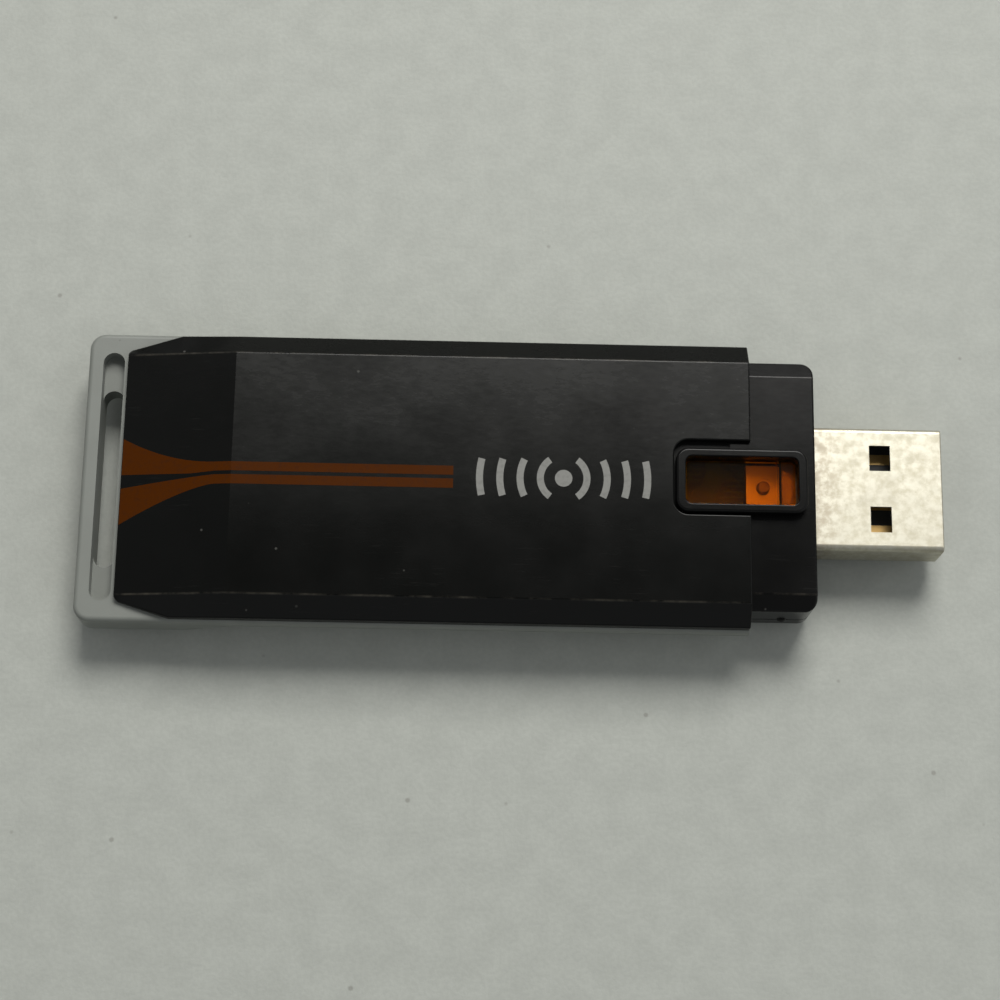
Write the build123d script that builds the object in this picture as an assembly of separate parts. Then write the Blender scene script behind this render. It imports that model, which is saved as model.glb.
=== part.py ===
from build123d import *
import os

# USB wireless network adapter: a flat stick with a plug at +X and a lanyard slot at -X.
# Millimetres.  +X points out of the plug, +Y across the stick and +Z up out of the top cover.
# The origin is the middle of the footprint, on the surface that the stick rests on.
# Each piece is written to parts/NODE.step.

# ---- driving dimensions -------------------------------------------------------------------
total_length = 81.5      # tail edge to plug tip
total_width = 28.2       # over the grey tray, the widest piece
body_height = 8.0        # resting surface to the flat of the top cover

plug_width = 12.0        # standard-A plug over the metal shell
plug_height = 4.5
plug_exposed = 12.2      # plug tip to the front face of the housing
plug_buried = 3.1        # metal shell inside the housing
seat_length = 6.2        # cap seat: front face of the housing to the end of the cover
seat_step = 0.8          # how far the seat stands inside the cover's top
seat_side_step = 1.63    # and inside its sides
seat_bevel_width = 1.57
seat_bevel_drop = 0.6
seat_corner_radius = 1.2
seat_front_radius = 0.2
lower_housing_height = 2.36  # seat underside to the joint between the two front housings
parting_gap = 0.2        # open line between the two front housings
bump_radius = 0.6        # detent bumps on the sides of the seat
bump_inset = 0.35
bump_from_front = 2.9
bump_clearance = 0.05

# ---- top cover ----------------------------------------------------------------------------
rim_step = 0.3           # tray rim that shows outside the cover
cover_depth = 2.4        # tray rim to the cover's flat top
cover_bevel_width = 2.1
cover_bevel_drop = 1.5   # height of the sloped long edges
cover_wall = 1.2
crease_radius = 0.3
cover_edge_radius = 0.15 # round the notch and the cover's front end
facet_length = 10.5      # sloped tail facet along X
nose_drop = 1.75         # how far the facet has dropped at its low end
nose_bevel_drop = 0.3
nose_bevel_width = 0.3
nose_taper = 1.6         # how far each side narrows towards the nose
nose_taper_length = 5.1
nose_corner_radius = 0.7
hook_half_length = 2.0   # snap hooks between the cover and the tray
hook_clearance = 0.15    # hook to the sides of its slot
hook_thickness = 0.65
hook_inset = 1.1         # inner face of the tray's wall to the inner face of a hook
hook_drop = 1.4          # reach below the rim
hook_rise = 0.9          # root above the rim
hook_root_overlap = 0.2
barb_reach = 0.25        # into the tray's wall
barb_depth = 1.0         # rim to the underside of the barb
barb_height = 0.5
barb_clearance = 0.1
hook_from_crease = 5.0
hook_from_end = 9.75

# ---- tray and lanyard slot ------------------------------------------------------------------
tray_wall = 1.3
floor_thickness = 1.2
rim_band = 1.2           # upright band below the rim, above the tapered hull
hull_taper = 1.7         # how far each side of the hull narrows towards the floor
hull_edge_radius = 1.0
hull_rise_start = 11.25  # tail edge to where the hull's underside starts to rise
hull_rise_slope = 1.905  # run over rise of the hull's tail end
tail_underside = 2.1     # height of the tail plate's underside
tail_plate_reach = 6.0   # tail plate under the nose
tail_plate_run = 5.0     # slope from the plate up to the rim band
tail_corner_radius = 1.5
tail_edge_radius = 0.45
tail_rim = 1.4           # bar outside the slot
slot_width = 2.05
slot_end_wall = 1.95     # slot to the sides of the tray
slot_to_nose = 0.4
pocket_length = 3.45     # blind part of the slot at each end
pocket_depth = 1.3
nose_wall = 5.0          # nose of the cover to the cavity
lip_height = 0.35
lip_thickness = 0.5
lip_clearance = 0.1
lip_setback = 1.0        # cavity's rear wall to the lip
lip_root_overlap = 0.05
label_length = 34.0
label_width = 18.0
label_radius = 1.0
label_thickness = 0.1
label_clearance = 0.1
label_recess = 0.15

# ---- bezel, button and switch -----------------------------------------------------------------
bezel_length = 12.4
bezel_half_width = 3.1
bezel_end_wall = 0.9
bezel_side_wall = 0.8
bezel_rise = 0.3         # above the cover
bezel_corner_radius = 1.2
bezel_outer_round = 0.25
bezel_inner_round = 0.12
bezel_front_gap = 0.85   # bezel to the housing's front edge
opening_corner_radius = 0.6
notch_clearance = 0.18   # round the bezel on three sides
notch_far_clearance = 0.85
ledge_length = 1.9       # step in the wide gap beside the bezel
ledge_height = 0.35
ledge_gap = 0.25
housing_wall = 0.95      # top, bottom and deck of the front housings
housing_side_wall = 1.2
deck_back = 0.9          # deck behind the bezel
deck_inset = 2.1         # seat's flat top to the sides of the deck
deck_clearance = 0.1
tenon_length = 5.0       # lower housing over the tray's floor
tenon_inset = 1.6
tenon_rise = 0.3
tenon_clearance = 0.05
button_side_clearance = 0.1
button_recess = 1.2      # bezel top to button top
button_travel = 0.25
button_plug_gap = 0.1    # pressed button to the plug
button_end_gap = 0.4     # button body to the plug's rear edge
flange_overhang = 0.4
flange_thickness = 0.5
flange_clearance = 0.05
lens_edge_radius = 0.25
boss_radius = 0.8
boss_height = 0.1
switch_length = 3.2
switch_width = 4.2
switch_height = 1.3
switch_floor = 0.3
switch_sheet = 0.15
switch_skirt = 0.4       # board to the metal cover's lower edges
switch_plug_gap = 0.05
well_radius = 1.05
plunger_radius = 0.575
plunger_foot_radius = 0.95
plunger_foot_height = 0.4
plunger_gap = 0.05       # button boss to plunger
plunger_clearance = 0.08
dome_radius = 0.95
dome_rise = 0.42
dome_thickness = 0.08

# ---- plug ---------------------------------------------------------------------------------------
sheet = 0.3              # plug shell thickness
shell_corner_radius = 0.5
shell_tip_radius = 0.14
seam_width = 0.08
latch_hole_length = 2.0
latch_hole_width = 2.5
latch_hole_from_tip = 5.9
latch_hole_pitch = 6.0
ear_length = 1.8
ear_overlap = 0.3        # solder ear along the shell
ear_below = 0.4          # reach under the board
ear_above = 0.6
ear_clearance = 0.1
tongue_thickness = 1.9
tongue_setback = 0.9     # plug tip to tongue tip
tongue_chamfer = 0.4
tongue_side_gap = 0.3
insulator_setback = 1.9  # rear edge of the shell to the insulator
insulator_length = 1.6
insulator_clearance = 0.02
contact_thickness = 0.12
contact_width = 1.0
contact_tail_width = 0.6
contact_tail_length = 1.6
contact_tail_thickness = 0.14
contact_proud = 0.02
plug_fit = 0.05          # shell in the housing

# ---- board --------------------------------------------------------------------------------------
board_thickness = 1.0
board_lift = 0.55        # inside of the plug shell to the board's underside
board_side_gap = 1.2     # tray's wall to the board
board_seat_gap = 0.37    # and to the inside of the cap seat
board_tongue_gap = 0.5   # and to the inside of the plug shell
board_hook_gap = 0.25
board_tail_gap = 0.4
board_shell_gap = 0.1    # wide part of the board to the plug shell
board_corner_radius = 1.0
board_support_gap = 0.05
post_radius = 1.1
post_inset = 1.4         # board's edge to the middle of a post
post_from_rear = 3.0
post_from_cover_end = 14.0
pin_radius = 0.6
pin_height = 0.5         # above the board
pin_clearance = 0.06

# ---- parts on the board ---------------------------------------------------------------------------
shield_from_rear = 13.0  # rear edge of the board to the shield
shield_length = 20.0
shield_width = 15.0
shield_height = 1.9
shield_sheet = 0.2
lid_sheet = 0.15
lid_clearance = 0.05
lid_skirt = 1.0
vent_radius = 0.5
vent_pitch_x = 2.2
vent_pitch_y = 4.0
radio_size = 9.0
radio_height = 0.9
amplifier_size = 3.0
amplifier_y = 4.5
amplifier_from_shield = 4.6
memory_length = 4.9
memory_width = 3.9
memory_height = 1.35
memory_lift = 0.1
memory_from_shield = 3.2
memory_from_edge = 3.1
leg_pitch = 1.27
leg_width = 0.4
leg_reach = 1.0
crystal_size = (3.2, 2.5, 0.8)
crystal_place = (2.2, -1.5)    # from the middle of the shield's front edge
regulator_size = 3.0
regulator_place = (2.4, 2.6)
power_coil_size = (4.0, 4.0, 1.8)
power_coil_place = (6.3, 4.5)
choke_size = (2.0, 1.25, 1.2)
choke_place = (-1.2, -5.5)     # from the middle of the switch
surge_size = (2.9, 1.6, 1.1)
surge_place = (-0.6, -3.45)
led_size = (1.6, 0.8, 0.6)
led_from_bezel = 1.6
led_y = -3.0
tiny_length = 1.0              # capacitors and resistors
tiny_width = 0.5
capacitor_height = 0.5
resistor_height = 0.35
copper_thickness = 0.05
copper_track = 0.5
copper_pitch = 1.1
antenna_from_rear = 0.8
antenna_from_post = 2.5
antenna_inner_y = 1.6
antenna_fold = 2.8
antenna_feed = 1.2

# ---- places that follow from the dimensions -------------------------------------------------------
x_tip = total_length / 2
x_tail = -total_length / 2
x_front = x_tip - plug_exposed
x_cover_end = x_front - seat_length
x_nose = x_tail + tail_rim + slot_width + slot_to_nose
x_crease = x_nose + facet_length
x_shell_rear = x_front - plug_buried
x_slot = x_tail + tail_rim + slot_width / 2
x_bezel = x_front - bezel_front_gap - bezel_length / 2
x_deck = x_bezel - bezel_length / 2 - deck_back
x_switch = x_shell_rear - switch_plug_gap - switch_length / 2
x_hull_rise = x_tail + hull_rise_start
x_cavity_rear = x_nose + nose_wall
x_board_rear = x_cavity_rear + board_tail_gap
x_board_front = x_shell_rear - board_shell_gap
x_insulator = x_shell_rear + insulator_setback
x_shield = x_board_rear + shield_from_rear + shield_length / 2
x_shield_front = x_shield + shield_length / 2
x_shield_rear = x_shield - shield_length / 2

tray_half_width = total_width / 2
cover_half_width = tray_half_width - rim_step
cover_flat_half = cover_half_width - cover_bevel_width
nose_half_width = cover_half_width - nose_taper
wall_inner_half = cover_half_width - tray_wall
hull_bottom_half = tray_half_width - hull_taper
seat_half_width = cover_half_width - seat_side_step
seat_flat_half = seat_half_width - seat_bevel_width
seat_inner_half = seat_half_width - housing_side_wall
deck_half_width = seat_flat_half - deck_inset
tenon_half_width = seat_flat_half - tenon_inset
opening_length = bezel_length - 2 * bezel_end_wall
opening_half_width = bezel_half_width - bezel_side_wall
slot_length = total_width - 2 * slot_end_wall
through_length = slot_length - 2 * pocket_length
hook_inner = wall_inner_half - hook_inset
board_half_width = wall_inner_half - board_side_gap
post_y = board_half_width - post_inset

rim_height = body_height - cover_depth
nose_height = body_height - nose_drop
cover_bevel_foot = body_height - cover_bevel_drop
seat_top = body_height - seat_step
seat_height = plug_height + 2 * housing_wall
seat_bottom = seat_top - seat_height
seat_parting = seat_bottom + lower_housing_height
plug_middle = (seat_top + seat_bottom) / 2
plug_top = plug_middle + plug_height / 2
plug_bottom = plug_middle - plug_height / 2
bezel_top = body_height + bezel_rise
deck_underside = seat_top - housing_wall
button_top = bezel_top - button_recess
flange_top = deck_underside - flange_clearance
flange_foot = flange_top - flange_thickness
boss_foot = flange_foot - boss_height
band_foot = rim_height - rim_band
board_bottom = plug_bottom + sheet + board_lift
board_top = board_bottom + board_thickness
switch_top = board_top + switch_height
tongue_top = plug_bottom + sheet + tongue_thickness
BIG = 200.0


def block(x0, x1, y0, y1, z0, z1):
    """A box between two opposite corners, given in any order."""
    middle = Pos((x0 + x1) / 2, (y0 + y1) / 2, (z0 + z1) / 2)
    return middle * Box(abs(x1 - x0), abs(y1 - y0), abs(z1 - z0))


def rounded_block(x0, x1, y0, y1, z0, z1, radius):
    """A box with rounded upright edges."""
    outline = RectangleRounded(x1 - x0, y1 - y0, radius)
    return extrude(Pos((x0 + x1) / 2, (y0 + y1) / 2, z0) * outline, amount=z1 - z0)


def cross_section(x, points):
    """A closed face across the stick at x, from (y, z) points."""
    corners = [(x, y, z) for y, z in points]
    return make_face(Polyline(corners + corners[:1]))


def roof_section(x, flat_half, full_half, top, foot):
    """Section of the cover's outside, with the creases and the feet of its slopes rounded."""
    points = roof_points(flat_half, full_half, top, foot, rim_height)
    face = cross_section(x, points)
    corners = [v for v in face.vertices() if v.Z > rim_height + 0.01]
    return fillet(corners, min(crease_radius, 0.45 * (top - foot)))


def side_profile(points, half_width):
    """A solid with the side outline given by (x, z) points."""
    corners = [(x, half_width, z) for x, z in points]
    return extrude(make_face(Polyline(corners + corners[:1])), amount=2 * half_width, dir=(0, -1, 0))


def roof_points(flat_half, full_half, top, foot, low):
    """Half-hexagon section: upright sides, sloped edges and a flat top."""
    right = [(full_half, low), (full_half, foot), (flat_half, top)]
    return right + [(-y, z) for y, z in reversed(right)]


def board_posts():
    """Centres of the four posts that locate the board in the tray."""
    rows = (x_board_rear + post_from_rear, x_cover_end - post_from_cover_end)
    return [(x, y) for x in rows for y in (-post_y, post_y)]


def hook_places():
    """Middles of the snap hooks along each side."""
    first = x_crease + hook_from_crease
    last = x_cover_end - hook_from_end
    return [first, (first + last) / 2, last]


# ---- shells -------------------------------------------------------------------------------------

def top_cover():
    """Black top shell: flat top, sloped long edges, tail facet and a notch round the bezel."""
    x_taper = x_nose + nose_taper_length
    share = (x_crease - x_taper) / facet_length
    nose_foot = nose_height - nose_bevel_drop
    taper_top = body_height - nose_drop * share
    taper_foot = cover_bevel_foot - (cover_bevel_foot - nose_foot) * share
    main = roof_section(x_crease, cover_flat_half, cover_half_width, body_height, cover_bevel_foot)
    middle = roof_section(x_taper, cover_flat_half, cover_half_width, taper_top, taper_foot)
    end = roof_section(x_nose, nose_half_width - nose_bevel_width, nose_half_width, nose_height, nose_foot)
    shell = extrude(main, amount=x_cover_end - x_crease, dir=(1, 0, 0))
    shell += loft([main, middle], ruled=True)
    shell += loft([middle, end], ruled=True)
    plan = [(x_nose, nose_half_width), (x_taper, cover_half_width), (x_cover_end, cover_half_width)]
    plan += [(x, -y) for x, y in reversed(plan)]
    outline = make_face(Polyline(plan + plan[:1]))
    outline = fillet(outline.vertices().group_by(Axis.X)[0], nose_corner_radius)
    shell &= extrude(outline, amount=body_height)

    inner = roof_points(cover_flat_half, cover_half_width, body_height, cover_bevel_foot,
                        rim_height - 3 * cover_wall)
    hollow = offset(cross_section(x_cavity_rear, inner), -cover_wall, kind=Kind.INTERSECTION)
    hollow = extrude(hollow, amount=x_cover_end - x_cavity_rear + 1, dir=(1, 0, 0))
    slope = nose_drop / facet_length
    ceiling = body_height - cover_wall
    x_bend = x_crease + slope * cover_wall / 2
    rear_ceiling = ceiling - slope * (x_bend - x_cavity_rear)
    hollow &= side_profile([(x_cavity_rear, 0), (x_cavity_rear, rear_ceiling), (x_bend, ceiling),
                            (BIG, ceiling), (BIG, 0)], BIG)
    shell -= hollow

    pocket_half = deck_half_width + deck_clearance
    shell -= block(x_deck - deck_clearance, BIG, -pocket_half, pocket_half, 0, seat_top + deck_clearance)
    shell -= rounded_block(x_bezel - bezel_length / 2 - notch_clearance, BIG,
                           -bezel_half_width - notch_clearance,
                           bezel_half_width + notch_far_clearance,
                           0, BIG, bezel_corner_radius + notch_clearance)
    top_edges = [e for e in shell.faces().sort_by(Axis.Z)[-1].edges()
                 if e.center().X > x_bezel - bezel_length and abs(e.center().Y) < cover_flat_half - 1]
    shell = fillet(top_edges, cover_edge_radius)
    root = cover_half_width - cover_wall + hook_root_overlap
    for x in hook_places():
        for side in (-1, 1):
            shell += snap_hook(x, side, root)
    return shell


def snap_hook(x, side, root):
    """One snap hook of the cover: a root out to the wall, a leg down and a barb at its end."""
    x0 = x - hook_half_length
    x1 = x + hook_half_length
    leg = hook_inner + hook_thickness
    top = rim_height + hook_rise
    barb_foot = rim_height - barb_depth
    hook = block(x0, x1, side * hook_inner, side * root, rim_height + hook_clearance / 3, top)
    hook += block(x0, x1, side * hook_inner, side * leg, rim_height - hook_drop, top)
    return hook + block(x0, x1, side * (leg - lip_root_overlap), side * (wall_inner_half + barb_reach),
                        barb_foot, barb_foot + barb_height)


def bottom_tray():
    """Light grey lower shell: upright rim band, tapered hull and a tail plate with the slot."""
    corners = [(x_tail, tray_half_width), (x_cover_end, tray_half_width)]
    corners += [(x, -y) for x, y in reversed(corners)]
    outline = make_face(Polyline(corners + corners[:1]))
    outline = fillet(outline.vertices().group_by(Axis.X)[0], tail_corner_radius)
    x_plate = x_nose + tail_plate_reach
    side = [(x_tail, rim_height), (x_tail, tail_underside), (x_plate, tail_underside),
            (x_plate + tail_plate_run, band_foot), (x_cover_end, band_foot), (x_cover_end, rim_height)]
    shell = extrude(outline, amount=rim_height) & side_profile(side, BIG)
    shell += tray_hull()
    rim = [e for e in shell.faces().sort_by(Axis.Z)[-1].edges() if e.center().X < x_cover_end - 0.1]
    shell = fillet(rim, tail_edge_radius)
    shell -= tray_cavity()

    slot_half = hook_half_length + hook_clearance
    leg_room = hook_inner - board_hook_gap
    barb_end = wall_inner_half + barb_reach + 2 * barb_clearance
    barb_foot = rim_height - barb_depth
    for hand in (-1, 1):
        lip = tray_lip(hand)
        for x in hook_places():
            lip -= block(x - slot_half, x + slot_half, hand * leg_room, hand * (barb_end - barb_clearance),
                         0, BIG)
            shell -= block(x - slot_half, x + slot_half, hand * hook_inner, hand * barb_end,
                           barb_foot - barb_clearance, barb_foot + barb_height + barb_clearance)
        shell += lip
    for x, y in board_posts():
        foot = Pos(x, y, floor_thickness)
        shell += foot * extrude(Circle(post_radius), board_bottom - floor_thickness)
        shell += foot * extrude(Circle(pin_radius), board_top + pin_height - floor_thickness)

    slot = Pos(x_slot, 0, 0) * SlotOverall(slot_length, slot_width, rotation=90)
    through = Pos(x_slot, 0, 0) * SlotOverall(through_length, slot_width, rotation=90)
    shell -= Pos(0, 0, rim_height - pocket_depth) * extrude(slot, pocket_depth)
    shell -= extrude(through, BIG)
    return shell - label_plate(label_clearance, 0, label_recess)


def tray_hull():
    """Tapered hull below the rim band, rising to the tail plate at its rear end."""
    run = hull_rise_slope * band_foot
    top = Pos((x_hull_rise - run + x_cover_end) / 2, 0, band_foot)
    top *= Rectangle(x_cover_end - x_hull_rise + run, 2 * tray_half_width)
    foot = Pos((x_hull_rise + x_cover_end) / 2, 0, 0)
    foot *= Rectangle(x_cover_end - x_hull_rise, 2 * hull_bottom_half)
    hull = loft([foot, top], ruled=True)
    return fillet(hull.faces().sort_by(Axis.Z)[0].edges().filter_by(Axis.X), hull_edge_radius)


def tray_cavity():
    """Inside of the tray: a wall's thickness within the hull, open at the front end."""
    draft = hull_taper / band_foot
    floor_half = tray_half_width - tray_wall - draft * (band_foot - floor_thickness)
    inner = [(-wall_inner_half, rim_height + 1), (-wall_inner_half, band_foot),
             (-floor_half, floor_thickness)]
    inner += [(-y, z) for y, z in reversed(inner)]
    cavity = extrude(cross_section(x_cavity_rear, inner), amount=BIG, dir=(1, 0, 0))
    rear_floor = board_bottom - board_support_gap
    x_floor = x_cavity_rear + (rear_floor - floor_thickness) * hull_rise_slope
    return cavity & side_profile([(x_cavity_rear, BIG), (x_cavity_rear, rear_floor),
                                  (x_floor, floor_thickness), (BIG, floor_thickness), (BIG, BIG)], BIG)


def tray_lip(hand):
    """Upstanding lip inside one long wall, joined to the wall below the rim."""
    x0 = x_cavity_rear + lip_setback
    outer = wall_inner_half - lip_clearance
    low = rim_height - rim_band + 0.4
    lip = block(x0, x_cover_end, hand * (outer - lip_thickness), hand * outer, low, rim_height + lip_height)
    return lip + block(x0, x_cover_end, hand * (outer - lip_root_overlap),
                       hand * (wall_inner_half + lip_root_overlap), low, rim_height - lip_clearance)


def label_plate(margin, low, high):
    """Rounded plate in the middle of the flat underside, margin wider than the label all round."""
    plan = RectangleRounded(label_length + 2 * margin, label_width + 2 * margin, label_radius + margin)
    return Pos((x_hull_rise + x_cover_end) / 2, 0, low) * extrude(plan, high - low)


def underside_label():
    """Blank label stuck in a shallow recess under the tray."""
    return label_plate(0, label_recess - label_thickness, label_recess)


def front_collar():
    """Cap seat with both halves in one: bevelled shell, front wall and the plug's hole."""
    half = [(seat_flat_half, seat_top), (seat_half_width, seat_top - seat_bevel_drop),
            (seat_half_width, seat_bottom + seat_bevel_drop), (seat_flat_half, seat_bottom)]
    section = half + [(-y, z) for y, z in reversed(half)]
    collar = extrude(cross_section(x_cover_end, section), amount=seat_length, dir=(1, 0, 0))
    plan = Pos(x_front - 3 * seat_length / 2, 0, 0)
    plan *= RectangleRounded(3 * seat_length, 2 * seat_half_width, seat_corner_radius)
    collar &= extrude(plan, BIG)
    creases = [e for e in collar.edges().filter_by(Axis.X)
               if abs(abs(e.center().Y) - seat_flat_half) < 0.01]
    collar = fillet(creases, crease_radius)
    front = collar.faces().sort_by(Axis.X)[-1]
    collar = fillet(front.edges(), seat_front_radius)
    collar -= block(x_cover_end - 1, x_front - housing_side_wall, -seat_inner_half, seat_inner_half,
                    seat_bottom + housing_wall, seat_top - housing_wall)
    plug = RectangleRounded(plug_width + 2 * plug_fit, plug_height + 2 * plug_fit,
                            shell_corner_radius + plug_fit)
    return collar - Pos(x_cover_end, 0, plug_middle) * extrude(Plane.YZ * plug, seat_length + 1)


def bump_places():
    """Middles of the two round detents on the sides of the seat."""
    return [(x_front - bump_from_front, side * (seat_half_width - bump_inset)) for side in (-1, 1)]


def front_housing_upper():
    """Upper front housing: top of the cap seat, deck under the cover and the raised bezel."""
    upper = front_collar() & block(-BIG, BIG, -BIG, BIG, seat_parting + parting_gap / 2, BIG)
    upper += block(x_deck, x_cover_end + 1, -deck_half_width, deck_half_width, deck_underside, seat_top)
    overlap = 0.3
    outline = RectangleRounded(bezel_length, 2 * bezel_half_width, bezel_corner_radius)
    outline -= RectangleRounded(opening_length, 2 * opening_half_width, opening_corner_radius)
    ring = Pos(x_bezel, 0, seat_top - overlap) * extrude(outline, bezel_top - seat_top + overlap)
    outer_edges = ring.faces().sort_by(Axis.Z)[-1].outer_wire().edges()
    ring = fillet(outer_edges, bezel_outer_round)
    inner_edges = ring.faces().sort_by(Axis.Z)[-1].inner_wires()[0].edges()
    upper += fillet(inner_edges, bezel_inner_round)
    upper += block(x_cover_end - ledge_length, x_cover_end, bezel_half_width - overlap,
                   bezel_half_width + notch_far_clearance - ledge_gap, seat_top - overlap,
                   seat_top + ledge_height)
    upper -= rounded_block(x_bezel - opening_length / 2, x_bezel + opening_length / 2,
                           -opening_half_width, opening_half_width, 0, BIG, opening_corner_radius)
    for x, y in bump_places():
        upper -= Pos(x, y, seat_parting) * Sphere(bump_radius + bump_clearance)
    return upper


def front_housing_lower():
    """Lower front housing: bottom of the cap seat, detent bumps and a tenon over the tray floor."""
    lower = front_collar() & block(-BIG, BIG, -BIG, BIG, 0, seat_parting - parting_gap / 2)
    lower += block(x_cover_end - tenon_length, x_cover_end + 1, -tenon_half_width, tenon_half_width,
                   floor_thickness + tenon_clearance, seat_bottom + housing_wall + tenon_rise)
    room = plug_width / 2 + ear_clearance
    lower -= block(x_shell_rear - ear_length, BIG, -room, room, plug_bottom - plug_fit, board_bottom)
    for x, y in bump_places():
        lower += Pos(x, y, seat_parting) * Sphere(bump_radius)
    return lower


# ---- button and switch ----------------------------------------------------------------------------

def button_plan(x0, x1, half_width, radius):
    """Rounded plan of one level of the button."""
    return Pos((x0 + x1) / 2, 0, 0) * RectangleRounded(x1 - x0, 2 * half_width, radius)


def button_lens():
    """Amber push button: thin top plate, thicker body, retaining flange and a boss below."""
    x0 = x_bezel - opening_length / 2 + button_side_clearance
    x1 = x_bezel + opening_length / 2 - button_side_clearance
    half = opening_half_width - button_side_clearance
    radius = opening_corner_radius - button_side_clearance
    plate_foot = plug_top + button_travel + button_plug_gap
    x_body_end = x_shell_rear - button_end_gap
    plate = Pos(0, 0, plate_foot) * extrude(button_plan(x0, x1, half, radius), button_top - plate_foot)
    plate = fillet(plate.faces().sort_by(Axis.Z)[-1].edges(), lens_edge_radius)
    body = button_plan(x0, x_body_end, half, radius)
    body = Pos(0, 0, flange_foot) * extrude(body, plate_foot + 0.05 - flange_foot)
    flange = button_plan(x0 - flange_overhang, x_body_end, half + flange_overhang, radius)
    flange = Pos(0, 0, flange_foot) * extrude(flange, flange_thickness)
    boss = Pos(x_switch, 0, boss_foot) * extrude(Circle(boss_radius), boss_height + flange_thickness / 2)
    return plate + body + flange + boss


def switch_base():
    """Moulded base of the push switch, open at the top for the dome and plunger."""
    body = block(x_switch - switch_length / 2, x_switch + switch_length / 2,
                 -switch_width / 2, switch_width / 2, board_top, switch_top)
    well = Pos(x_switch, 0, board_top + switch_floor) * extrude(Circle(well_radius), switch_height)
    return body - well


def switch_cover():
    """Stamped metal cover that keeps the plunger in the switch."""
    half = switch_width / 2 + switch_sheet
    metal = block(x_switch - switch_length / 2, x_switch + switch_length / 2, -half, half,
                  board_top + switch_skirt, switch_top + switch_sheet)
    metal = fillet(metal.edges().filter_by(Axis.X).group_by(Axis.Z)[-1], 0.7 * switch_sheet)
    metal -= block(-BIG, BIG, -switch_width / 2, switch_width / 2, 0, switch_top)
    return metal - Pos(x_switch, 0, 0) * extrude(Circle(plunger_radius + plunger_clearance), BIG)


def switch_plunger():
    """Round plunger with a retaining foot below the switch cover."""
    foot_top = switch_top - plunger_gap
    foot_low = foot_top - plunger_foot_height
    stem = Pos(x_switch, 0, foot_low) * extrude(Circle(plunger_radius), boss_foot - plunger_gap - foot_low)
    stem = fillet(stem.faces().sort_by(Axis.Z)[-1].edges(), 0.1)
    return stem + Pos(x_switch, 0, foot_low) * extrude(Circle(plunger_foot_radius), plunger_foot_height)


def switch_dome():
    """Thin domed spring between the switch base and the plunger."""
    radius = (dome_radius ** 2 + dome_rise ** 2) / (2 * dome_rise)
    low = board_top + switch_floor
    cap = Sphere(radius) - Sphere(radius - dome_thickness)
    return Pos(x_switch, 0, low + dome_rise - radius) * cap & block(-BIG, BIG, -BIG, BIG, low, BIG)


# ---- plug -----------------------------------------------------------------------------------------

def usb_shell():
    """Folded metal shell of the plug, with four latch holes, a seam below and rear solder ears."""
    length = plug_exposed + plug_buried
    outer = RectangleRounded(plug_width, plug_height, shell_corner_radius)
    inner = RectangleRounded(plug_width - 2 * sheet, plug_height - 2 * sheet, shell_corner_radius - sheet)
    tube = Pos(x_shell_rear, 0, plug_middle) * extrude(Plane.YZ * outer, length)
    tube = fillet(tube.faces().sort_by(Axis.X)[-1].edges(), shell_tip_radius)
    tube -= Pos(x_shell_rear - 1, 0, plug_middle) * extrude(Plane.YZ * inner, length + 2)
    x_hole = x_tip - latch_hole_from_tip
    for side in (-1, 1):
        y = side * latch_hole_pitch / 2
        tube -= block(x_hole - latch_hole_length / 2, x_hole + latch_hole_length / 2,
                      y - latch_hole_width / 2, y + latch_hole_width / 2, 0, BIG)
        tube += block(x_shell_rear + ear_overlap - ear_length, x_shell_rear + ear_overlap,
                      side * (plug_width / 2 - sheet), side * plug_width / 2,
                      board_bottom - ear_below, board_top + ear_above)
    seam = block(x_shell_rear - 2, x_tip + 1, -seam_width / 2, seam_width / 2, 0,
                 plug_bottom + sheet + 0.05)
    return tube - seam


def contact_places():
    """Middles across the plug and front ends of the four contacts, outer pair longer."""
    return [(-3.5, x_tip - 1.6), (-1.0, x_tip - 2.6), (1.0, x_tip - 2.6), (3.5, x_tip - 1.6)]


def usb_contacts():
    """Four gold contacts, from the tongue through the rear block down to the board."""
    strips = []
    x_step = x_insulator + 0.2
    tail = contact_tail_thickness
    for y, x_end in contact_places():
        y0 = y - contact_tail_width / 2
        y1 = y + contact_tail_width / 2
        strip = block(x_step, x_end, y - contact_width / 2, y + contact_width / 2,
                      tongue_top - contact_thickness, tongue_top + contact_proud)
        strip += block(x_step - contact_tail_length, x_step + tail, y0, y1, board_top, board_top + tail)
        strip += block(x_step, x_step + tail, y0, y1, board_top, tongue_top)
        strips.append(strip)
    return strips


def usb_insulator():
    """Moulded rear block and tongue that carries the contacts."""
    inner_half = plug_width / 2 - sheet - insulator_clearance
    low = plug_bottom + sheet
    body = block(x_insulator, x_insulator + insulator_length, -inner_half, inner_half, low, plug_top - sheet)
    body = fillet(body.edges().filter_by(Axis.X), shell_corner_radius - sheet)
    tongue_half = inner_half - tongue_side_gap
    tongue = block(x_insulator, x_tip - tongue_setback, -tongue_half, tongue_half, low, tongue_top)
    body += chamfer(tongue.faces().sort_by(Axis.X)[-1].edges().group_by(Axis.Z)[-1], tongue_chamfer)
    for strip in usb_contacts():
        body -= strip
    return body


# ---- board and what it carries ----------------------------------------------------------------------

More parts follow.
